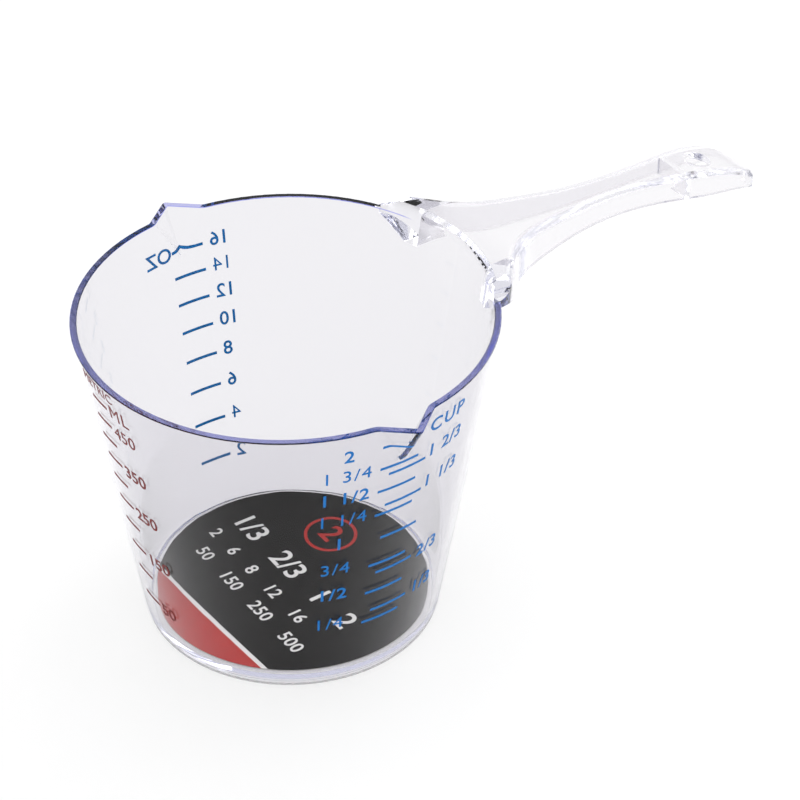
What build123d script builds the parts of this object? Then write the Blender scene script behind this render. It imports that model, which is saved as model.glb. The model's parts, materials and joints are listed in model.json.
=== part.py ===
from build123d import *
import math
import os

# A clear moulded measuring cup with two pouring spouts and a long channel handle.
# A printed card disc lies loose in its bottom, and three printed scales run up its wall.
# Origin: centre of the foot on the resting plane. +Z is up, +X runs along the handle,
# and the spouts point along -Y and +Y. All lengths are in millimetres.

# Cup wall, floor and foot
cup_height = 91.1
rim_radius = 54.4
base_radius = 39.6
wall = 1.8
floor_top = 3.6
floor_thickness = 1.8
floor_corner_round = 1.2
foot_height = 2.0
foot_inset = 0.4
foot_ring_width = 2.0
rim_round = 0.3
foot_round = 0.3

# Pouring spouts: a V in plan that fades into the wall below the rim
spout_reach = 6.3
spout_drop = 14.6
spout_half_chord = 8.5
spout_tip_round = 1.0
spout_inner_tip_round = 0.4
spout_root_round = 1.6

# Handle: a top plate with a flange down each edge, open underneath
handle_length = 94.8
handle_rise = 3.0
handle_root_half_width = 27.0
handle_plate = 2.2
handle_flange = 2.0
handle_flange_depth = 10.6
handle_ridge_round = 2.4
handle_end_half_width = 9.1
handle_end_round = 6.5
handle_tip_fall = 11.7
root_corner_depth = 1.2
root_corner_rise = 0.3
root_shoulder_start = 19.0
root_lip_flare = 2.4
root_pocket_half_width = 15.0
rib_thickness = 1.6
rib_from_tip = 24.8
hang_hole_radius = 3.8
hang_hole_from_tip = 16.7

# Loose card disc in the bottom, with its two printed colour fields
card_thickness = 0.4
card_gap = 0.3
card_ink_thickness = 0.06
stripe_distance = 26.3
stripe_width = 1.2

# Printed scales: bars of ink on the outside of the wall. Two cups fill the inside to the two-cup
# level. Each scale's bars stand above the levels of their volumes by the scale's lift.
ink_thickness = 0.1
bar_height = 0.8
two_cup_level = 79.1
ounce_print_lift = 1.2
cup_print_lift = 5.3
millilitre_print_lift = 1.5
ounce_bar_width = 9.6
cup_bar_width = 11.0
millilitre_bar_width = 7.1

# One overrun serves every cut
overrun = 1.0

# The handle's outline from above: shares of its reach and of its half width at the root
handle_plan_shares = (
    (0.000, 1.000),
    (0.063, 0.856),
    (0.122, 0.604),
    (0.191, 0.424),
    (0.268, 0.333),
    (0.376, 0.252),
    (0.573, 0.207),
    (0.777, 0.293),
)
# The handle's top line from the side: shares of its reach and of its fall to the tip
handle_top_shares = (
    (0.000, 0.000),
    (0.272, 0.000),
    (0.408, 0.084),
    (0.573, 0.158),
    (0.719, 0.270),
    (0.835, 0.405),
    (0.922, 0.625),
    (1.000, 1.000),
)
# The flanges' depth below that line, as shares of the depth at the root, at the same places
handle_depth_shares = (1.000, 0.920, 0.740, 0.670, 0.670, 0.670, 0.520, 0.430)

# Middle of the bars of each scale, in degrees round the cup from the handle
ounce_bar_angle = 88.2
quarter_cup_bar_angle = -90.8
third_cup_bar_angle = -87.9
millilitre_bar_angle = 177.8
stripe_angle = 183.0

# Marks as shares of two cups: 2 to 16 ounces, quarter cups, third cups, 50 to 500 millilitres
fifty_millilitre_share = 50 / 473.176
ounce_mark_shares = [step / 8 for step in range(1, 9)]
quarter_mark_shares = [step / 8 for step in (1, 2, 3, 5, 6, 7, 8)]
third_mark_shares = [step / 6 for step in (1, 2, 3, 4, 5)]
millilitre_mark_shares = [fifty_millilitre_share * step for step in range(1, 11)]

# Sizes worked out from those above
taper = (rim_radius - base_radius) / cup_height
handle_root_x = math.sqrt(rim_radius**2 - handle_root_half_width**2)
handle_start_x = handle_root_x - 2 * wall
handle_tip_x = rim_radius + handle_length
handle_reach = handle_tip_x - handle_root_x
handle_top_z = cup_height + handle_rise
handle_low_z = handle_top_z - handle_tip_fall - handle_flange_depth
widest = handle_tip_x + overrun


def outer_radius(z):
    """Outside radius of the wall at height z."""
    return base_radius + taper * z


def inner_radius(z):
    """Inside radius of the wall at height z."""
    return outer_radius(z) - wall


def volume_below(z):
    """Volume that the cup holds when it is filled to height z."""
    low = inner_radius(floor_top)
    high = inner_radius(z)
    return math.pi / 3 * (z - floor_top) * (low * low + low * high + high * high)


def level_of(share):
    """Level that this share of two cups reaches inside the cup."""
    low = inner_radius(floor_top)
    volume = share * volume_below(two_cup_level)
    high = (low**3 + 3 * taper * volume / math.pi) ** (1 / 3)
    return floor_top + (high - low) / taper


def turned(points):
    """A solid turned about Z from its (radius, height) outline."""
    outline = Polyline(*[(radius, 0, z) for radius, z in points], close=True)
    return revolve(make_face(outline), Axis.Z)


def wall_cone(radius_at, low, high):
    """A solid cone between two heights that follows the slope of the wall."""
    return turned([(0, low), (radius_at(low), low), (radius_at(high), high), (0, high)])


def round_edges(solid, chosen, radius):
    """The solid with the edges that chosen picks rounded."""
    return fillet([edge for edge in solid.edges() if chosen(edge)], radius)


def between_levels(low, high):
    """A block that spans everything between two heights."""
    block = Box(2 * widest, 2 * widest, high - low, align=(Align.CENTER, Align.CENTER, Align.MIN))
    return Pos(0, 0, low) * block


# Cup shell
def spout_prism(side, offset, tip_round):
    """The V of one spout, swept down along its ridge line.

    offset moves the faces of the V outwards, or inwards where it is negative.
    """
    chord_y = math.sqrt(rim_radius**2 - spout_half_chord**2)
    tip_y = rim_radius + spout_reach
    half_angle = math.atan2(spout_half_chord, tip_y - chord_y)
    ridge_run = tip_y - outer_radius(cup_height - spout_drop)
    down = Vector(0, -ridge_run * side, -spout_drop)
    lift = down * (-overrun / spout_drop)
    depth = spout_reach + 2 * wall
    tip = tip_y + offset / math.sin(half_angle)
    back_half = depth * math.tan(half_angle)
    corners = [(0, tip * side), (back_half, (tip - depth) * side), (-back_half, (tip - depth) * side)]
    section = make_face(Polyline(*corners, close=True))
    tip_corner = section.vertices().sort_by(Axis.Y)[-1 if side > 0 else 0]
    section = Pos(0, lift.Y, cup_height + lift.Z) * fillet(tip_corner, tip_round)
    return extrude(section, amount=2 * down.length, dir=down.normalized())


def with_spouts(cone, cone_radius, offset, tip_round, root_round):
    """A cone of the cup with a spout on each side, blended where the spouts leave it."""

    def on_spout_root(edge):
        points = [edge.position_at(part) for part in (0.1, 0.5, 0.9)]
        near = all(abs(math.hypot(p.X, p.Y) - cone_radius(p.Z)) < ink_thickness / 10 for p in points)
        return near and abs(points[1].X) < spout_half_chord and points[1].Z < cup_height - rim_round

    below_rim = between_levels(foot_height, cup_height)
    for side in (-1, 1):
        prism = spout_prism(side, offset, tip_round)
        cone = cone + (prism & below_rim)
    return round_edges(cone, on_spout_root, root_round)


def cup_outside(grown):
    """The outside of the cup above its foot, with its spouts, grown by a skin's thickness."""

    def skin_radius(z):
        return outer_radius(z) + grown

    cone = wall_cone(skin_radius, foot_height, cup_height)
    return with_spouts(cone, skin_radius, grown, spout_tip_round + grown, spout_root_round - grown)


def cup_hollow():
    """The space inside the cup and its spouts, up to the rim, rounded where it meets the floor."""
    cone = wall_cone(inner_radius, floor_top, cup_height)
    hollow = with_spouts(cone, inner_radius, -wall, spout_inner_tip_round, spout_root_round + wall)
    return round_edges(hollow, lambda edge: edge.center().Z < floor_top + ink_thickness, floor_corner_round)


def foot_ring():
    """The ring under the floor that the cup stands on, set in from the wall."""
    outside = outer_radius(foot_height) - foot_inset
    recess = floor_top - floor_thickness
    ring = Cylinder(outside, foot_height, align=(Align.CENTER, Align.CENTER, Align.MIN))
    ring = round_edges(ring, lambda edge: edge.center().Z < foot_height / 2, foot_round)
    return ring, Cylinder(outside - foot_ring_width, recess, align=(Align.CENTER, Align.CENTER, Align.MIN))


def cup_shell():
    """The wall, floor, spouts and foot, with a rounded rim and no handle."""
    shell = cup_outside(0) - cup_hollow()
    shell = round_edges(shell, lambda edge: abs(edge.center().Z - cup_height) < rim_round / 10, rim_round)
    ring, recess = foot_ring()
    return shell + ring - recess


# Handle
def along(share):
    """Distance from the cup's axis at a share of the handle's reach."""
    return handle_root_x + share * handle_reach


def side_line(inset, limit):
    """Points of the handle's edge from above, drawn in by inset and no wider than limit."""
    points = [(along(x), min(y * handle_root_half_width - inset, limit)) for x, y in handle_plan_shares]
    return points + [(handle_tip_x - handle_end_round, handle_end_half_width - inset)]


def handle_plan(inset, limit):
    """The handle's outline from above, drawn in by inset, closed inside the cup."""
    points = side_line(inset, limit)
    first_x, first_y = points[0]
    half = points[-1][1]
    tip_x = handle_tip_x - inset
    corner = handle_end_round - inset
    cut = corner * (1 - math.sqrt(0.5))
    edges = [
        Spline(*[(x, -y) for x, y in points]),
        ThreePointArc((tip_x - corner, -half), (tip_x - cut, -half + cut), (tip_x, -half + corner)),
        Line((tip_x, -half + corner), (tip_x, half - corner)),
        ThreePointArc((tip_x, half - corner), (tip_x - cut, half - cut), (tip_x - corner, half)),
        Spline(*[(x, y) for x, y in points]),
        Line((first_x, first_y), (handle_start_x, first_y)),
        Line((handle_start_x, first_y), (handle_start_x, -first_y)),
        Line((handle_start_x, -first_y), (first_x, -first_y)),
    ]
    return make_face(edges)


def top_line(lowered):
    """Points of the handle's top line from the side, moved down by lowered."""
    return [(along(x), handle_top_z - lowered - fall * handle_tip_fall) for x, fall in handle_top_shares]


def handle_side(lowered, low_points):
    """The handle's outline from the side, between its top line and a lower line."""
    top_points = top_line(lowered)
    start_top = (handle_start_x, 0, top_points[0][1])
    start_low = (handle_start_x, 0, low_points[0][1])
    edges = [
        Spline(*[(x, 0, z) for x, z in top_points]),
        Line((handle_tip_x, 0, top_points[-1][1]), (handle_tip_x, 0, low_points[-1][1])),
        Spline(*[(x, 0, z) for x, z in low_points]),
        Line((handle_root_x, 0, low_points[0][1]), start_low),
        Line(start_low, start_top),
        Line(start_top, (handle_root_x, 0, top_points[0][1])),
    ]
    return make_face(edges)


def root_front():
    """The handle's outline from its end: below the rim, the root sweeps up to the rim's corner."""
    edge_y = handle_root_half_width + overrun
    corner_z = cup_height - root_corner_depth
    foot_z = cup_height - handle_flange_depth
    corners = [
        (0, -edge_y, handle_top_z + overrun),
        (0, -edge_y, corner_z),
        (0, -root_pocket_half_width, foot_z),
        (0, -root_pocket_half_width, handle_low_z),
        (0, root_pocket_half_width, handle_low_z),
        (0, root_pocket_half_width, foot_z),
        (0, edge_y, corner_z),
        (0, edge_y, handle_top_z + overrun),
    ]
    return make_face(Polyline(*corners, close=True))


def handle_block():
    """The handle without its pocket, its ridges rounded."""
    depth_line = [
        (x, z - depth * handle_flange_depth) for (x, z), depth in zip(top_line(0), handle_depth_shares)
    ]
    tall = handle_top_z + overrun - handle_low_z
    block = Pos(0, 0, handle_low_z) * extrude(handle_plan(0, handle_root_half_width), amount=tall)
    block = block & extrude(handle_side(0, depth_line), amount=handle_root_half_width + overrun, both=True)
    block = block & extrude(root_front(), amount=widest, both=True)
    tops = top_line(0)

    def on_ridge(edge):
        middle = edge.position_at(0.5)
        if middle.X < handle_start_x + overrun / 10 or edge.bounding_box().size.Y < overrun / 10:
            return False
        nearest = max(z for x, z in tops if x >= middle.X - overrun)
        return middle.Z > nearest - handle_plate

    return round_edges(block, on_ridge, handle_ridge_round)


def handle_pocket():
    """The space under the handle's plate, split by a cross rib before the hang hole."""
    low_line = [(along(x), handle_low_z - overrun) for x, fall in handle_top_shares]
    tall = handle_top_z - handle_low_z + overrun
    plan = handle_plan(handle_flange, root_pocket_half_width)
    pocket = Pos(0, 0, handle_low_z - overrun) * extrude(plan, amount=tall)
    pocket = pocket & extrude(handle_side(handle_plate, low_line), amount=handle_root_half_width, both=True)
    rib = Pos(handle_tip_x - rib_from_tip, 0, 0) * Box(rib_thickness, 2 * widest, 2 * widest)
    wall_side = wall_cone(outer_radius, handle_low_z - 2 * overrun, handle_top_z + overrun)
    return pocket - rib - wall_side


def root_shoulder(side):
    """The space above one corner of the root, whose top sweeps down from the plate to the rim."""
    edge_y = handle_root_half_width + overrun
    edge_z = cup_height + root_corner_rise
    start_z = handle_top_z + overrun
    start = (0, side * root_shoulder_start, start_z)
    corner = (0, side * handle_root_half_width, edge_z)
    outwards = (0, side, 0)
    edges = [
        Spline(start, corner, tangents=[outwards, outwards]),
        Line(corner, (0, side * edge_y, edge_z)),
        Line((0, side * edge_y, edge_z), (0, side * edge_y, start_z + overrun)),
        Line((0, side * edge_y, start_z + overrun), (0, side * root_shoulder_start, start_z + overrun)),
        Line((0, side * root_shoulder_start, start_z + overrun), start),
    ]
    return extrude(make_face(edges), amount=widest, both=True)


def handle():
    """The handle as it leaves the cup, with its pocket and its hang hole."""
    hole = Cylinder(hang_hole_radius, 2 * handle_top_z)
    hole = Pos(handle_tip_x - hang_hole_from_tip, 0, handle_top_z) * hole
    block = handle_block() - root_shoulder(-1) - root_shoulder(1)
    return block - handle_pocket() - hole


def mouth_space():
    """The space inside the cup and over it, flared at the top so that the root has a soft lip."""
    low = handle_top_z - root_lip_flare
    high = handle_top_z + overrun
    lip_start = (inner_radius(low), 0, low)
    lip_end = (inner_radius(low) + root_lip_flare, 0, high)
    edges = [
        Line((0, 0, floor_top), (inner_radius(floor_top), 0, floor_top)),
        Line((inner_radius(floor_top), 0, floor_top), lip_start),
        TangentArc(lip_start, lip_end, tangent=(taper, 0, 1)),
        Line(lip_end, (0, 0, high)),
        Line((0, 0, high), (0, 0, floor_top)),
    ]
    return revolve(make_face(edges), Axis.Z)


def cup_body():
    """The whole moulding: shell and handle, open inside up to the top of the handle's root."""
    return cup_shell() + (handle() - mouth_space())


# Printed scales
def scale_bars(skin, marks, angle, width, lift):
    """The ink bars of one scale, one solid for each mark, printed this much above the level of its volume."""
    bars = []
    for share in marks:
        z = level_of(share) + lift
        reach = outer_radius(z) + spout_reach
        block = Pos(reach / 2, 0, z) * Box(reach, width, bar_height)
        bar = skin & (Rot(0, 0, angle) * block)
        bars += list(bar.solids())
    return bars


# Card disc
def card_plate(low, thickness):
    """A plate of the card's outline, from a height up."""
    radius = inner_radius(floor_top) - floor_corner_round - card_gap
    return Pos(0, 0, low) * Cylinder(radius, thickness, align=(Align.CENTER, Align.CENTER, Align.MIN))


def card_field(near, far):
    """Ink on the card between two distances from its middle, across the stripe's direction."""
    ink = card_plate(floor_top + card_thickness, card_ink_thickness)
    band = Pos((near + far) / 2, 0, floor_top) * Box(far - near, 2 * rim_radius, cup_height)
    return ink & (Rot(0, 0, stripe_angle) * band)


def write_part(name, shape):
    """Write one piece to its own STEP file."""
    os.makedirs("parts", exist_ok=True)
    export_step(shape, "parts/" + name + ".step")


def main():
    """Build every piece and write it."""
    skin = cup_outside(ink_thickness) - cup_outside(0)
    write_part("cup_body", cup_body())
    bars = scale_bars(skin, ounce_mark_shares, ounce_bar_angle, ounce_bar_width, ounce_print_lift)
    write_part("ounce_scale", Compound(bars))
    bars = scale_bars(skin, quarter_mark_shares, quarter_cup_bar_angle, cup_bar_width, cup_print_lift)
    bars += scale_bars(skin, third_mark_shares, third_cup_bar_angle, cup_bar_width, cup_print_lift)
    write_part("cup_scale", Compound(bars))
    bars = scale_bars(
        skin, millilitre_mark_shares, millilitre_bar_angle, millilitre_bar_width, millilitre_print_lift
    )
    write_part("millilitre_scale", Compound(bars))
    write_part("card_disc", card_plate(floor_top, card_thickness))
    write_part("card_stripe", card_field(stripe_distance, stripe_distance + stripe_width))
    write_part("card_colour_field", card_field(stripe_distance + stripe_width, rim_radius))
    top_bar = two_cup_level + cup_print_lift
    print("up to the two-cup level the cup holds", round(volume_below(two_cup_level) / 1000, 1), "ml")
    print("up to the top cup bar it holds", round(volume_below(top_bar) / 1000, 1), "ml")
    top_bar = two_cup_level + ounce_print_lift
    print("up to the top ounce bar it holds", round(volume_below(top_bar) / 1000, 1), "ml")


if __name__ == "__main__":
    main()
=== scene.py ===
"""Looks of a clear moulded measuring cup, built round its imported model.

The cup is one clear moulding with two pouring spouts and a channel handle. Its volume scales are
printed on the outside of the wall, and a printed card disc lies loose in the bottom.
Sizes are written in millimetres and turned to metres by MM.
"""

import json
import logging
import math
from dataclasses import dataclass
from enum import Enum
from typing import Any

import bpy
from mathutils import Matrix, Vector

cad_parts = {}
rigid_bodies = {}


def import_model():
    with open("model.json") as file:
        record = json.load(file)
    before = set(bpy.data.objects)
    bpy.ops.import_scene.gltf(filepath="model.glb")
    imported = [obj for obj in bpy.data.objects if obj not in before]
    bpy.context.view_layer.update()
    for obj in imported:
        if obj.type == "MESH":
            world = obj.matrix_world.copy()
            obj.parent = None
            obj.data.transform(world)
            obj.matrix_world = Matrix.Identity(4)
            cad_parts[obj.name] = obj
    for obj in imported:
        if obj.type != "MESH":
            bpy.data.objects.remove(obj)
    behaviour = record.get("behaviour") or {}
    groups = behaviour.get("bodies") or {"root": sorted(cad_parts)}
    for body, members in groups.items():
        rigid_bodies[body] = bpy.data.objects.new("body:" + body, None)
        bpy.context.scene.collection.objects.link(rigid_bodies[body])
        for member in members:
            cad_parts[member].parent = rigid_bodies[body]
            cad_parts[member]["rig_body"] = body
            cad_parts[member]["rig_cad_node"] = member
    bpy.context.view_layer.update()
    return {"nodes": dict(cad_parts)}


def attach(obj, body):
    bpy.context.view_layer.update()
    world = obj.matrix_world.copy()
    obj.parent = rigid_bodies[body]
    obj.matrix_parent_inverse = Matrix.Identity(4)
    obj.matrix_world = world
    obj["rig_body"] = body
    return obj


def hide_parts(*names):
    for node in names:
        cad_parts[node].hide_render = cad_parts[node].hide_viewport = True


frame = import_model()

MM = 0.001
WHITE = "#FFFFFF"
# Points of a mesh that are closer than this are merged
MERGE_DISTANCE = 0.001
# Height of a capital in Blender's built-in font, as a share of the text's size
CAPITAL_SHARE = 0.729
# Bold strokes: each outline grows by this share of the capital's height
STROKE_GROWTH = 0.018
# Lines with these characters keep the font's own strokes, since bolder ones close their openings
NARROW_CHARACTERS = "4M"
# Straight steps in each curve of a character's outline
CURVE_STEPS = 4

log = logging.getLogger("measuring_cup")


def linear(hex_colour: str) -> tuple[float, float, float, float]:
    """Turn an sRGB hex colour to the linear colour that a shader takes.

    Args:
        hex_colour: Colour such as "#0A6EB4".

    Returns:
        Linear red, green and blue, with an alpha of 1.
    """
    shares = [int(hex_colour[i : i + 2], 16) / 255 for i in (1, 3, 5)]
    curve = [c / 12.92 if c <= 0.04045 else ((c + 0.055) / 1.055) ** 2.4 for c in shares]
    return (curve[0], curve[1], curve[2], 1.0)


def pattern_scale(feature: float) -> float:
    """Texture scale for a feature of this many millimetres on Object coordinates."""
    return 1 / (feature * MM)


def add_node(
    tree: bpy.types.NodeTree,
    kind: str,
    settings: dict[Any, Any] | None = None,
    links: dict[Any, bpy.types.NodeSocket] | None = None,
) -> bpy.types.Node:
    """Add a node with its settings and links.

    Args:
        tree: Node tree that gets the node.
        kind: Blender's name for the node's type.
        settings: Values by property name, or by input name or number.
        links: Output sockets by input name or number.

    Returns:
        The new node.
    """
    node = tree.nodes.new(kind)
    for name, value in (settings or {}).items():
        if name in node.bl_rna.properties.keys():
            setattr(node, name, value)
        else:
            node.inputs[name].default_value = value
    for name, socket in (links or {}).items():
        tree.links.new(socket, node.inputs[name])
    return node


def new_material(name: str) -> tuple[bpy.types.Material, bpy.types.NodeTree, bpy.types.NodeSocket]:
    """Start an empty node material.

    Args:
        name: Name of the material.

    Returns:
        The material, its node tree and its Object coordinates socket.
    """
    material = bpy.data.materials.new(name)
    material.use_nodes = True
    tree = material.node_tree
    tree.nodes.clear()
    place = add_node(tree, "ShaderNodeTexCoord")
    return material, tree, place.outputs["Object"]


@dataclass(frozen=True)
class ClearStyrene:
    """Clear styrene plastic, injection moulded against polished steel.

    It shows what is behind it, a little greyed by each wall, with a faint ripple where the melt
    flowed. The top face of the rim carries painted shade: the deep blue violet that light picks up
    on its long path down inside the wall is painted into its colour, and it is slightly hazy. The
    handle carries painted light: its colour is painted paler than the wall's, where strong light
    washes it out, and it is slightly frosted.

    The handle's painted light and frost come in along X, from handle_from to handle_to. The rim's
    painted shade and haze come in by height from rim_low to rim_high, are gone again at rim_end,
    and stop root_fade short of handle_from. mirror_tint dims the reflections of faces that are
    seen straight on.
    """

    wall_tint: str = "#ECEBEE"
    # Painted light: the handle's colour is painted paler than the wall's, where strong light washes it
    # out
    handle_painted_light: str = "#F5F4F6"
    handle_from: float = 50.0
    handle_to: float = 62.0
    handle_blur: float = 0.10
    # Painted shade: the blue violet of light's long path down inside the wall, painted on the rim's top
    # face
    rim_painted_shade: str = "#3A46E0"
    rim_low: float = 90.85
    rim_high: float = 91.0
    rim_end: float = 91.3
    rim_blur: float = 0.16
    root_fade: float = 1.0
    ior: float = 1.57
    mirror_tint: str = "#141414"
    absorption_tint: str = "#3F59CB"
    absorption_density: float = 4.0
    flow_width: float = 11.0
    flow_depth: float = 0.02

    def share_of_rim_shade_and_haze(self, tree: bpy.types.NodeTree, place: bpy.types.Node) -> bpy.types.NodeSocket:
        """Work out how much of the rim's painted shade and haze each point has.

        Args:
            tree: Node tree of the plastic.
            place: Node that gives the point's X, Y and Z.

        Returns:
            The share, 1 on the rim's top face and 0 off it.
        """
        share = None
        for axis, none_at, all_at in (
            ("Z", self.rim_low, self.rim_high),
            ("Z", self.rim_end, self.rim_high),
            ("X", self.handle_from, self.handle_from - self.root_fade),
        ):
            ramp = add_node(
                tree,
                "ShaderNodeMapRange",
                {"From Min": none_at * MM, "From Max": all_at * MM},
                {"Value": place.outputs[axis]},
            ).outputs["Result"]
            if share is None:
                share = ramp
            else:
                both = add_node(tree, "ShaderNodeMath", {"operation": "MULTIPLY"}, {0: share, 1: ramp})
                share = both.outputs[0]
        return share

    def tint(
        self, tree: bpy.types.NodeTree, handle_light_and_frost: bpy.types.NodeSocket, rim_shade_and_haze: bpy.types.NodeSocket
    ) -> bpy.types.NodeSocket:
        """Blend the wall's tint with the handle's painted light and the rim's painted shade.

        Args:
            tree: Node tree of the plastic.
            handle_light_and_frost: Share of the handle's painted light and frost.
            rim_shade_and_haze: Share of the rim's painted shade and haze.

        Returns:
            The plastic's colour.
        """
        body = add_node(
            tree,
            "ShaderNodeMix",
            {"data_type": "RGBA", 6: linear(self.wall_tint), 7: linear(self.handle_painted_light)},
            {0: handle_light_and_frost},
        )
        whole = add_node(
            tree,
            "ShaderNodeMix",
            {"data_type": "RGBA", 7: linear(self.rim_painted_shade)},
            {0: rim_shade_and_haze, 6: body.outputs[2]},
        )
        return whole.outputs[2]

    def haze(
        self, tree: bpy.types.NodeTree, handle_light_and_frost: bpy.types.NodeSocket, rim_shade_and_haze: bpy.types.NodeSocket
    ) -> bpy.types.NodeSocket:
        """Blur the handle and the rim a little, and leave the wall polished.

        Args:
            tree: Node tree of the plastic.
            handle_light_and_frost: Share of the handle's painted light and frost, here giving its frost.
            rim_shade_and_haze: Share of the rim's painted shade and haze, here giving its haze.

        Returns:
            The plastic's roughness.
        """
        handle_haze = add_node(
            tree,
            "ShaderNodeMath",
            {"operation": "MULTIPLY", 1: self.handle_blur},
            {0: handle_light_and_frost},
        )
        whole = add_node(
            tree,
            "ShaderNodeMath",
            {"operation": "MULTIPLY_ADD", 1: self.rim_blur},
            {0: rim_shade_and_haze, 2: handle_haze.outputs[0]},
        )
        return whole.outputs[0]

    def build(self) -> bpy.types.Material:
        """Make the clear moulded plastic.

        Returns:
            The material.
        """
        material, tree, place = new_material("clear_styrene_moulded")
        along = add_node(tree, "ShaderNodeSeparateXYZ", links={"Vector": place})
        handle_light_and_frost_ramp = add_node(
            tree,
            "ShaderNodeMapRange",
            {"From Min": self.handle_from * MM, "From Max": self.handle_to * MM},
            {"Value": along.outputs["X"]},
        )
        handle_light_and_frost = handle_light_and_frost_ramp.outputs["Result"]
        rim_shade_and_haze = self.share_of_rim_shade_and_haze(tree, along)
        flow = add_node(
            tree,
            "ShaderNodeTexNoise",
            {"Scale": pattern_scale(self.flow_width), "Detail": 1.0},
            {"Vector": place},
        )
        ripple = add_node(
            tree,
            "ShaderNodeBump",
            {"Strength": 1.0, "Distance": self.flow_depth * MM},
            {"Height": flow.outputs[0]},
        )
        plastic = add_node(
            tree,
            "ShaderNodeBsdfPrincipled",
            {
                "Transmission Weight": 1.0,
                "IOR": self.ior,
                "Specular Tint": linear(self.mirror_tint),
            },
            {
                # Base colour with painted light on the handle and painted shade on the rim's top face
                "Base Color": self.tint(tree, handle_light_and_frost, rim_shade_and_haze),
                "Roughness": self.haze(tree, handle_light_and_frost, rim_shade_and_haze),
                "Normal": ripple.outputs["Normal"],
            },
        )
        depth = add_node(
            tree,
            "ShaderNodeVolumeAbsorption",
            {"Color": linear(self.absorption_tint), "Density": self.absorption_density},
        )
        add_node(
            tree,
            "ShaderNodeOutputMaterial",
            links={"Surface": plastic.outputs["BSDF"], "Volume": depth.outputs["Volume"]},
        )
        return material


@dataclass(frozen=True)
class PrintedFinish:
    """A print or a printed card: its colour, how it varies and its shine.

    The colour wanders a little in patches where the ink lies thicker or thinner, and a fine grain
    breaks up the shine. Where printed_from is given, the ink lies only above that height and
    comes in over edge_blur, and the board under it is bare. lets_through is the share of light
    that passes through a thin layer of ink. The plain values are those of screen-printed ink.
    """

    name: str
    colour: str
    thin_colour: str
    patch: float = 2.5
    grain: float = 0.35
    grain_depth: float = 0.004
    roughness: tuple[float, float] = (0.30, 0.50)
    printed_from: float | None = None
    board_colour: str = "#EDECE8"
    edge_blur: float = 0.03
    ior: float = 1.5
    specular_level: float = 0.2
    lets_through: float = 0.0

    def over_board(
        self, tree: bpy.types.NodeTree, place: bpy.types.NodeSocket, colour: bpy.types.NodeSocket
    ) -> bpy.types.NodeSocket:
        """Keep the colour above printed_from, with bare board below it.

        Args:
            tree: Node tree of the finish.
            place: Object coordinates.
            colour: Colour of the ink.

        Returns:
            The colour of ink and board together.
        """
        along = add_node(tree, "ShaderNodeSeparateXYZ", links={"Vector": place})
        printed = add_node(
            tree,
            "ShaderNodeMapRange",
            {"From Min": (self.printed_from - self.edge_blur) * MM, "From Max": self.printed_from * MM},
            {"Value": along.outputs["Z"]},
        )
        both = add_node(
            tree,
            "ShaderNodeMix",
            {"data_type": "RGBA", 6: linear(self.board_colour)},
            {0: printed.outputs["Result"], 7: colour},
        )
        return both.outputs[2]

    def build(self) -> bpy.types.Material:
        """Make the printed finish.

        Returns:
            The material.
        """
        material, tree, place = new_material(self.name)
        patches = add_node(
            tree,
            "ShaderNodeTexNoise",
            {"Scale": pattern_scale(self.patch), "Detail": 3.0},
            {"Vector": place},
        )
        grain = add_node(
            tree,
            "ShaderNodeTexNoise",
            {"Scale": pattern_scale(self.grain), "Detail": 2.0},
            {"Vector": place},
        )
        colour = add_node(
            tree,
            "ShaderNodeMix",
            {"data_type": "RGBA", 6: linear(self.colour), 7: linear(self.thin_colour)},
            {0: patches.outputs[0]},
        )
        shown = colour.outputs[2]
        if self.printed_from is not None:
            shown = self.over_board(tree, place, shown)
        shine = add_node(
            tree,
            "ShaderNodeMapRange",
            {"To Min": self.roughness[0], "To Max": self.roughness[1]},
            {"Value": grain.outputs[0]},
        )
        bump = add_node(
            tree,
            "ShaderNodeBump",
            {"Strength": 1.0, "Distance": self.grain_depth * MM},
            {"Height": grain.outputs[0]},
        )
        ink = add_node(
            tree,
            "ShaderNodeBsdfPrincipled",
            {
                "IOR": self.ior,
                "Specular IOR Level": self.specular_level,
                "Transmission Weight": self.lets_through,
            },
            {
                "Base Color": shown,
                "Roughness": shine.outputs["Result"],
                "Normal": bump.outputs["Normal"],
            },
        )
        add_node(tree, "ShaderNodeOutputMaterial", links={"Surface": ink.outputs["BSDF"]})
        return material


# Screen-printed ink is opaque and half glossy, with soft patches where the squeegee laid less.
# Card is coated, so it is smooth and a little shiny, with the grain of paper under the coat.
# The grain of the inks is finer than shows, so it is drawn at the sizes here.
FINISHES = {
    "blue_ink": PrintedFinish("blue_screen_ink", "#046CBC", "#0E78C6"),
    "brown_ink": PrintedFinish("red_brown_screen_ink", "#6A0A08", "#7A1410"),
    "black_card": PrintedFinish(
        "black_coated_card",
        "#0A0908",
        "#14110F",
        patch=1.2,
        grain=0.30,
        grain_depth=0.002,
        roughness=(0.45, 0.70),
        printed_from=4.03,
        specular_level=0.01,
    ),
    "white_ink": PrintedFinish(
        "white_coated_card", "#EFEFEC", "#E2E1DC", patch=1.5, grain=0.30, roughness=(0.38, 0.60)
    ),
    "red_ink": PrintedFinish(
        "red_offset_ink_on_card", "#BE1A10", "#A9160E", patch=1.2, grain=0.30, roughness=(0.38, 0.60)
    ),
}
# Seen from inside, the ounce scale is lit through its own thin layer from the wall's outside, and its
# blue is painted lighter than the cup scale's, as painted light for the light the wall keeps from it.
OUNCE_INK_PAINTED_LIGHTER = PrintedFinish("blue_screen_ink_lit_through_painted_lighter", "#1E92E4", "#2A9CEC", lets_through=0.45)


class Side(Enum):
    """How a line of text stands to its place: it ends there, is centred there or starts there."""

    ENDS = "RIGHT"
    CENTRED = "CENTER"
    STARTS = "LEFT"


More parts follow.
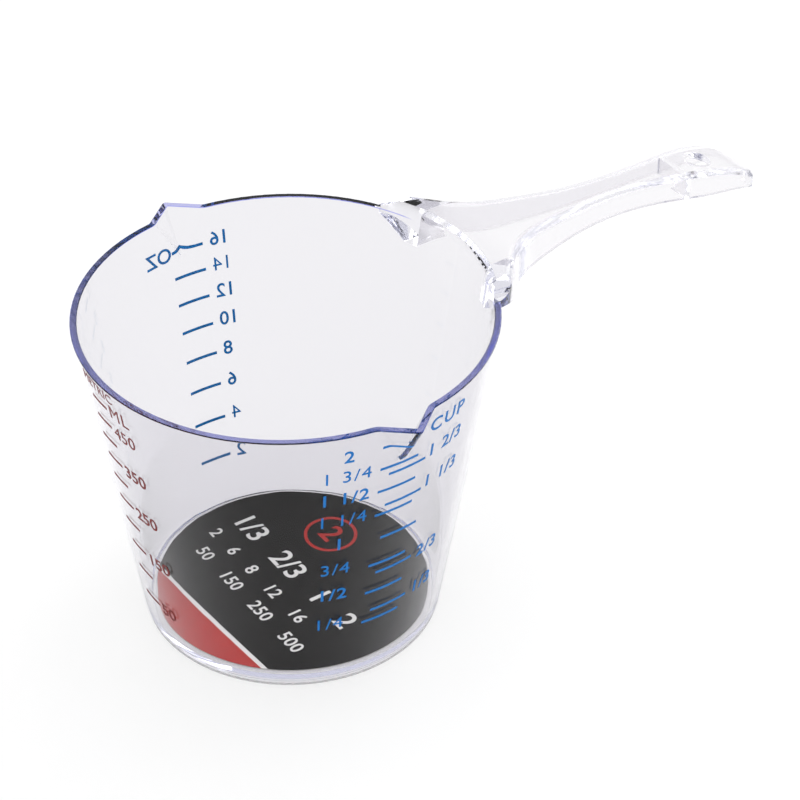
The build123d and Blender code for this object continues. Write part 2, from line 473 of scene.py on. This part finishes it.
def deselect_all() -> None:
    """Leave nothing selected, so that the next operator acts only on what it is given."""
    if bpy.context.object is not None and bpy.context.object.mode != "OBJECT":
        bpy.ops.object.mode_set(mode="OBJECT")
    bpy.ops.object.select_all(action="DESELECT")


def choose(piece: bpy.types.Object) -> None:
    """Select one piece alone and make it active.

    Args:
        piece: Piece that the next operator acts on.
    """
    deselect_all()
    piece.select_set(True)
    bpy.context.view_layer.objects.active = piece


def merge_seams() -> None:
    """Merge the doubled points of the active mesh."""
    bpy.ops.object.mode_set(mode="EDIT")
    bpy.ops.mesh.select_all(action="SELECT")
    bpy.ops.mesh.remove_doubles(threshold=MERGE_DISTANCE * MM)
    bpy.ops.object.mode_set(mode="OBJECT")


def flat_text(words: str, size: float, thickness: float, side: Side, spacing: float) -> bpy.types.Object:
    """Make a line of text as a thin closed mesh on the XY plane, centred in its thickness.

    Args:
        words: Text of the line.
        size: Height of its capitals and figures, in millimetres.
        thickness: Thickness of the ink, in millimetres.
        side: How the line stands to the origin.
        spacing: Space between letters, as a share of the font's own.

    Returns:
        The text as a mesh object.
    """
    deselect_all()
    bpy.ops.object.text_add()
    letters = bpy.context.object.data
    letters.body = words
    letters.size = size * MM / CAPITAL_SHARE
    letters.align_x = side.value
    letters.align_y = "CENTER"
    letters.space_character = spacing
    narrow = any(character in words for character in NARROW_CHARACTERS)
    letters.offset = 0.0 if narrow else STROKE_GROWTH * size * MM
    letters.resolution_u = CURVE_STEPS
    letters.extrude = thickness / 2 * MM
    bpy.ops.object.convert(target="MESH")
    merge_seams()
    return bpy.context.object


def join(name: str, pieces: list[bpy.types.Object]) -> bpy.types.Object:
    """Join several meshes into one named piece.

    Args:
        name: Name of the joined piece.
        pieces: Mesh objects, of which the first one stays.

    Returns:
        The joined piece.
    """
    choose(pieces[0])
    for piece in pieces:
        piece.select_set(True)
    bpy.ops.object.join()
    piece = bpy.context.object
    piece.name = piece.data.name = name
    return piece


def free_copy(source: bpy.types.Object, name: str) -> bpy.types.Object:
    """Copy a node of the frame to a piece of its own, with its seams merged.

    Args:
        source: Node of the frame, which stays as it is.
        name: Name of the copy.

    Returns:
        The copy, with its own mesh.
    """
    piece = source.copy()
    piece.data = source.data.copy()
    piece.parent = None
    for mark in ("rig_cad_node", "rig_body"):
        del piece[mark]
    piece.name = piece.data.name = name
    bpy.context.scene.collection.objects.link(piece)
    choose(piece)
    merge_seams()
    return piece


def dress(piece: bpy.types.Object, material: bpy.types.Material) -> None:
    """Give a piece one material all over.

    Args:
        piece: Piece to dress.
        material: Its material.
    """
    if not piece.data.materials:
        piece.data.materials.append(material)
    for material_slot in piece.material_slots:
        material_slot.material = material


def report(piece: bpy.types.Object) -> None:
    """Log a finished piece and its number of faces."""
    log.info("%s: %d faces", piece.name, len(piece.data.polygons))


@dataclass(frozen=True)
class CupWall:
    """The outside of the cup's wall, a cone that opens upwards."""

    rim_radius: float = 54.4
    base_radius: float = 39.6
    height: float = 91.1

    @property
    def taper(self) -> float:
        """How much the radius grows for each millimetre of height."""
        return (self.rim_radius - self.base_radius) / self.height

    def radius(self, level: float) -> float:
        """Outside radius at a level, in millimetres."""
        return self.base_radius + self.taper * level

    def wrap(self, piece: bpy.types.Object, azimuth: float, level: float) -> None:
        """Lay a flat piece on the wall, half sunk so that ink and plastic meet.

        Args:
            piece: Mesh on the XY plane, its X to run round the cup and its Y up the slope.
            azimuth: Where its origin goes round the cup, in degrees from the handle.
            level: Where its origin goes above the table, in millimetres.
        """
        slope = math.atan(self.taper)
        for vertex in piece.data.vertices:
            x, y, out = vertex.co / MM
            z = level + y * math.cos(slope)
            reach = self.radius(z) + out * math.cos(slope)
            angle = math.radians(azimuth) + x / self.radius(level)
            place = Vector((reach * math.cos(angle), reach * math.sin(angle), z - out * math.sin(slope)))
            vertex.co = place * MM


@dataclass(frozen=True)
class Label:
    """A line of print beside a scale.

    bar is the number of its bar from the lowest, and middle is the azimuth of the bars. offset is
    the way round the wall from there and rise the way up from the bar. side says how the line
    stands to that place, size is the height of its figures, and spacing the space between them
    as a share of the font's own.
    """

    words: str
    bar: int
    middle: float
    offset: float
    rise: float
    side: Side
    size: float = 4.1
    spacing: float = 1.0


@dataclass
class PrintedScale:
    """One volume scale: ink bars from the frame, with the figures beside them.

    Points of the bars that stand more than bar_gap apart in height belong to different bars.
    """

    name: str
    node: str
    slot: str
    labels: list[Label]
    ink_thickness: float = 0.1
    bar_gap: float = 0.96
    wall: CupWall = CupWall()

    def levels(self) -> list[float]:
        """Find the heights of the scale's bars in the frame.

        Returns:
            The middle height of each bar from the lowest up, in millimetres.
        """
        heights = sorted(vertex.co.z / MM for vertex in frame["nodes"][self.node].data.vertices)
        bars = [[heights[0]]]
        for height in heights[1:]:
            if height - bars[-1][-1] > self.bar_gap:
                bars.append([])
            bars[-1].append(height)
        return [(bar[0] + bar[-1]) / 2 for bar in bars]

    def bars(self, material: bpy.types.Material) -> bpy.types.Object:
        """Make the bars from the frame's, pressed half into the wall.

        Args:
            material: Ink of the bars.

        Returns:
            The bars as one piece, in place of the frame's node.
        """
        piece = free_copy(frame["nodes"][self.node], f"{self.name}_bars")
        for vertex in piece.data.vertices:
            outwards = Vector((vertex.co.x, vertex.co.y, 0)).normalized()
            vertex.co -= outwards * self.ink_thickness / 2 * MM
        dress(piece, material)
        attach(piece, "cup")
        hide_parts(self.node)
        return piece

    def figures(self, material: bpy.types.Material) -> bpy.types.Object:
        """Print the labels on the wall.

        Args:
            material: Ink of the figures.

        Returns:
            All the scale's figures as one piece.
        """
        levels = self.levels()
        printed = []
        for label in self.labels:
            level = levels[label.bar] + label.rise
            azimuth = label.middle + math.degrees(label.offset / self.wall.radius(level))
            text = flat_text(label.words, label.size, self.ink_thickness, label.side, label.spacing)
            self.wall.wrap(text, azimuth, level)
            printed.append(text)
        piece = join(f"{self.name}_figures", printed)
        dress(piece, material)
        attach(piece, "cup")
        return piece

    def build(self, material: bpy.types.Material) -> None:
        """Build and report the whole scale.

        Args:
            material: Ink of the scale.
        """
        for piece in (self.bars(material), self.figures(material)):
            report(piece)


def ounce_labels() -> list[Label]:
    """List the labels of the ounce scale.

    Returns:
        Every second ounce, and the unit on the other side of the bars.
    """
    middle = 88.2
    labels = [Label(str(2 * (bar + 1)), bar, middle, -6.8, 0.5, Side.ENDS) for bar in range(8)]
    return labels + [Label("OZ", 7, middle, 9.2, 0.0, Side.CENTRED, size=4.3)]


def cup_labels() -> list[Label]:
    """List the labels of the cup scale. Each word's row gives its bar, offset and rise.

    Returns:
        The quarters to the left of their bars, the thirds to the right of theirs, and the unit.
    """
    quarter_middle, third_middle = -90.8, -87.9
    quarters = {
        "1/4": (0, -14.6, 2.2),
        "1/2": (2, -14.6, 2.4),
        "3/4": (4, -14.6, 1.7),
        "1": (5, -14.3, 1.4),
        "1 1/4": (6, -14.2, 1.2),
        "1 1/2": (8, -14.2, 0.6),
        "1 3/4": (10, -14.2, 0.3),
        "2": (11, -14.2, -0.4),
    }
    thirds = {
        "1/3": (1, 11.4, 0.4),
        "2/3": (3, 11.4, 0.0),
        "1 1/3": (7, 12.6, 1.5),
        "1 2/3": (9, 12.6, 1.4),
    }
    labels = []
    for middle, places in ((quarter_middle, quarters), (third_middle, thirds)):
        for word, (bar, offset, rise) in places.items():
            labels.append(Label(word, bar, middle, offset, rise, Side.CENTRED, spacing=1.12))
    return labels + [Label("CUP", 11, third_middle, 12.2, 0.0, Side.CENTRED, size=4.4, spacing=1.2)]


def millilitre_labels() -> list[Label]:
    """List the labels of the millilitre scale.

    Returns:
        Every hundred from 50, and the unit and its system beside the top bar.
    """
    middle = 177.8
    labels = [Label(str(50 * (bar + 1)), bar, middle, 4.6, -0.6, Side.STARTS) for bar in range(0, 10, 2)]
    return labels + [
        Label("ML", 9, middle, 4.6, 0.0, Side.STARTS, size=4.3, spacing=1.1),
        Label("METRIC", 9, middle, 0.0, 4.6, Side.CENTRED, size=3.0, spacing=1.05),
    ]


@dataclass(frozen=True)
class CardRow:
    """A row of figures on the card, which runs towards -Y with its top towards +X.

    size is the height of its figures. The row starts at along, towards +Y, with its middle line
    at across, towards +X. spacing is the space between letters as a share of the font's own.
    """

    words: str
    size: float
    along: float
    across: float
    spacing: float = 1.05


@dataclass
class CardInsert:
    """The loose card disc: black with a red edge field, printed with plain numbers and a ring.

    It lies on a film of air, because the floor of the cup would otherwise show its dark underside
    from the side. top is the height of its printed face with that film under it.
    """

    top: float = 4.05
    air_film: float = 0.05
    ink_thickness: float = 0.06
    ring_radius: float = 7.4
    ring_width: float = 0.9
    ring_sides: int = 72
    ring_place: tuple[float, float] = (18.5, 9.5)
    ring_figure: CardRow = CardRow("2", 7.0, 11.9, 18.5, spacing=1.0)
    rows: tuple[CardRow, ...] = (
        CardRow("1/3   2/3   1   2", 6.6, 30.0, 1.6, spacing=1.0),
        CardRow("2    6    8    12    16", 3.9, 29.0, -7.6),
        CardRow("50    150    250    500", 3.9, 24.5, -14.6),
    )

    def printed_row(self, row: CardRow) -> bpy.types.Object:
        """Print one row on the card.

        Args:
            row: The row's words, size and place.

        Returns:
            The row, lying on the card.
        """
        text = flat_text(row.words, row.size, self.ink_thickness, Side.STARTS, row.spacing)
        turn = Matrix.Rotation(math.radians(-90), 4, "Z")
        move = Matrix.Translation(Vector((row.across, row.along, self.top)) * MM)
        text.data.transform(move @ turn)
        return text

    def layer(self, node: str, material: bpy.types.Material) -> bpy.types.Object:
        """Copy one layer of the card from the frame and raise it by the film of air.

        Args:
            node: Layer's node in the frame.
            material: Finish of the layer.

        Returns:
            The raised layer, in place of the frame's node.
        """
        piece = free_copy(frame["nodes"][node], f"{node}_laid")
        piece.data.transform(Matrix.Translation((0, 0, self.air_film * MM)))
        dress(piece, material)
        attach(piece, "card")
        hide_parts(node)
        return piece

    def ring(self) -> bpy.types.Object:
        """Print the plain ring, by turning its upright cross section once round its middle.

        An extruded ring has its faces in another order on each run, and a turned one doesn't.

        Returns:
            The ring, lying on the card.
        """
        deselect_all()
        bpy.ops.mesh.primitive_plane_add(size=1, rotation=(math.radians(90), 0, 0))
        piece = bpy.context.object
        piece.scale = (self.ring_width * MM, self.ink_thickness * MM, 1)
        bpy.ops.object.transform_apply()
        out = (self.ring_radius - self.ring_width / 2) * MM
        piece.data.transform(Matrix.Translation((out, 0, 0)))
        turn = piece.modifiers.new("turn", "SCREW")
        turn.steps = turn.render_steps = self.ring_sides
        turn.use_smooth_shade = False
        turn.use_normal_calculate = True
        turn.use_normal_flip = True
        bpy.ops.object.modifier_apply(modifier=turn.name)
        piece.data.transform(Matrix.Translation(Vector((*self.ring_place, self.top)) * MM))
        return piece

    def build(self, finishes: dict[str, bpy.types.Material]) -> None:
        """Lay the card on its film of air, print its rows and ring, and report them.

        Args:
            finishes: Materials by slot.
        """
        for node, slot in (
            ("card_disc", "black_card"),
            ("card_stripe", "white_ink"),
            ("card_colour_field", "red_ink"),
        ):
            report(self.layer(node, finishes[slot]))
        numbers = join("card_numbers", [self.printed_row(row) for row in self.rows])
        figure = self.printed_row(self.ring_figure)
        ring = join("card_ring", [self.ring(), figure])
        for piece, slot in ((numbers, "white_ink"), (ring, "red_ink")):
            dress(piece, finishes[slot])
            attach(piece, "card")
            report(piece)


@dataclass(frozen=True)
class PhotoCamera:
    """The photograph's viewpoint, which looks down on the cup with the handle to its right.

    Angles are in degrees, and azimuth turns from the handle's side view. lens and sensor are the
    camera's own millimetres.
    """

    aim: tuple[float, float, float] = (18.5, -23.91, 70.21)
    distance: float = 750.0
    azimuth: float = -34.438
    elevation: float = 37.102
    roll: float = 0.172
    lens: float = 133.13
    sensor: float = 36.0

    def build(self) -> None:
        """Place the camera and make it the scene's."""
        turn = Matrix.Rotation(math.radians(self.azimuth), 4, "Z")
        tilt = Matrix.Rotation(math.radians(90 - self.elevation), 4, "X")
        roll = Matrix.Rotation(math.radians(self.roll), 4, "Z")
        back = Matrix.Translation((0, 0, self.distance * MM))
        deselect_all()
        bpy.ops.object.camera_add()
        camera = bpy.context.object
        camera.name = "photo_camera"
        camera.matrix_world = Matrix.Translation(Vector(self.aim) * MM) @ turn @ tilt @ roll @ back
        camera.data.lens = self.lens
        camera.data.sensor_width = self.sensor
        bpy.context.scene.camera = camera
        log.info("%s: %.0f mm lens", camera.name, self.lens)


@dataclass(frozen=True)
class SoftLamp:
    """A large square studio lamp. Its place and side are in metres and its power in watts."""

    name: str
    place: tuple[float, float, float]
    side: float
    power: float


def seen_share(tree: bpy.types.NodeTree, kinds: tuple[str, ...]) -> bpy.types.NodeSocket:
    """Tell the rays that see the white background from those that only light the cup.

    Args:
        tree: Node tree of the floor or the world.
        kinds: Outputs of Light Path whose rays see it as the camera's do.

    Returns:
        One for the camera's rays and the kinds given, and zero for the rest.
    """
    path = add_node(tree, "ShaderNodeLightPath")
    seen = path.outputs["Is Camera Ray"]
    for kind in kinds:
        either = add_node(
            tree, "ShaderNodeMath", {"operation": "MAXIMUM"}, {0: seen, 1: path.outputs[kind]}
        )
        seen = either.outputs[0]
    return seen


@dataclass(frozen=True)
class Studio:
    """A white floor and a white surround, with large soft lamps.

    floor_side is in metres. shadow_share is how much of the lit paper shows in the white floor.
    Light runs down inside the clear wall by many reflections before it leaves it, so its paths
    are long: up to all_bounces in all, with up to wall_bounces reflections and as many passes
    through a face of the plastic.
    """

    floor_side: float = 6.0
    paper_colour: str = "#F6F6F6"
    shadow_share: float = 0.25
    surround_light: float = 0.62
    all_bounces: int = 40
    wall_bounces: int = 32
    lamps: tuple[SoftLamp, ...] = (
        SoftLamp("lamp_over", (0.2, 0.3, 1.3), 1.2, 11.0),
        SoftLamp("lamp_right", (1.2, 0.2, 0.9), 1.0, 7.0),
        SoftLamp("lamp_left", (-1.2, -0.6, 0.9), 1.0, 4.0),
    )

    def floor(self) -> None:
        """Lay the white floor, which keeps a faint shadow of the cup."""
        deselect_all()
        bpy.ops.mesh.primitive_plane_add(size=self.floor_side)
        floor = bpy.context.object
        floor.name = "floor"
        material, tree, _ = new_material("white_paper_floor")
        lit = add_node(tree, "ShaderNodeBsdfDiffuse", {"Color": linear(self.paper_colour)})
        glow = add_node(tree, "ShaderNodeEmission", {"Color": linear(WHITE), "Strength": 1.0})
        shown = add_node(
            tree,
            "ShaderNodeMixShader",
            {0: self.shadow_share},
            {1: glow.outputs[0], 2: lit.outputs[0]},
        )
        seen = seen_share(tree, ("Is Transmission Ray",))
        paper = add_node(
            tree, "ShaderNodeMixShader", links={0: seen, 1: lit.outputs[0], 2: shown.outputs[0]}
        )
        add_node(tree, "ShaderNodeOutputMaterial", links={"Surface": paper.outputs[0]})
        dress(floor, material)
        log.info("floor: %.0f m", self.floor_side)

    def surround(self) -> None:
        """Make the world white where it is seen, and a soft fill light elsewhere."""
        world = bpy.data.worlds.new("white_surround")
        bpy.context.scene.world = world
        world.use_nodes = True
        tree = world.node_tree
        tree.nodes.clear()
        strength = add_node(
            tree,
            "ShaderNodeMapRange",
            {"To Min": self.surround_light, "To Max": 1.0},
            {"Value": seen_share(tree, ("Is Glossy Ray", "Is Transmission Ray"))},
        )
        light = add_node(
            tree,
            "ShaderNodeBackground",
            {"Color": linear(WHITE)},
            {"Strength": strength.outputs["Result"]},
        )
        add_node(tree, "ShaderNodeOutputWorld", links={"Surface": light.outputs[0]})

    def light(self) -> None:
        """Hang the lamps, each aimed at the cup."""
        for lamp in self.lamps:
            deselect_all()
            bpy.ops.object.light_add(type="AREA", location=lamp.place)
            made = bpy.context.object
            made.name = lamp.name
            made.data.size = lamp.side
            made.data.energy = lamp.power
            made.rotation_euler = Vector(lamp.place).to_track_quat("Z", "Y").to_euler()
            log.info("%s: %.0f W", lamp.name, lamp.power)

    def build(self) -> None:
        """Set the view, the light's paths and the whole studio."""
        scene = bpy.context.scene
        scene.view_settings.view_transform = "Standard"
        scene.cycles.max_bounces = self.all_bounces
        scene.cycles.glossy_bounces = self.wall_bounces
        scene.cycles.transmission_bounces = self.wall_bounces
        self.floor()
        self.surround()
        self.light()


def main() -> None:
    """Build the looks in order and report each piece."""
    logging.basicConfig(level=logging.INFO, format="%(message)s")
    PhotoCamera().build()
    Studio().build()
    dress(frame["nodes"]["cup_body"], ClearStyrene().build())
    log.info("cup_body: dressed")
    finishes = {slot: finish.build() for slot, finish in FINISHES.items()}
    PrintedScale("ounce", "ounce_scale", "blue_ink", ounce_labels()).build(OUNCE_INK_PAINTED_LIGHTER.build())
    PrintedScale("cup", "cup_scale", "blue_ink", cup_labels()).build(finishes["blue_ink"])
    PrintedScale("millilitre", "millilitre_scale", "brown_ink", millilitre_labels()).build(
        finishes["brown_ink"]
    )
    CardInsert().build(finishes)
    deselect_all()


if __name__ == "__main__":
    main()
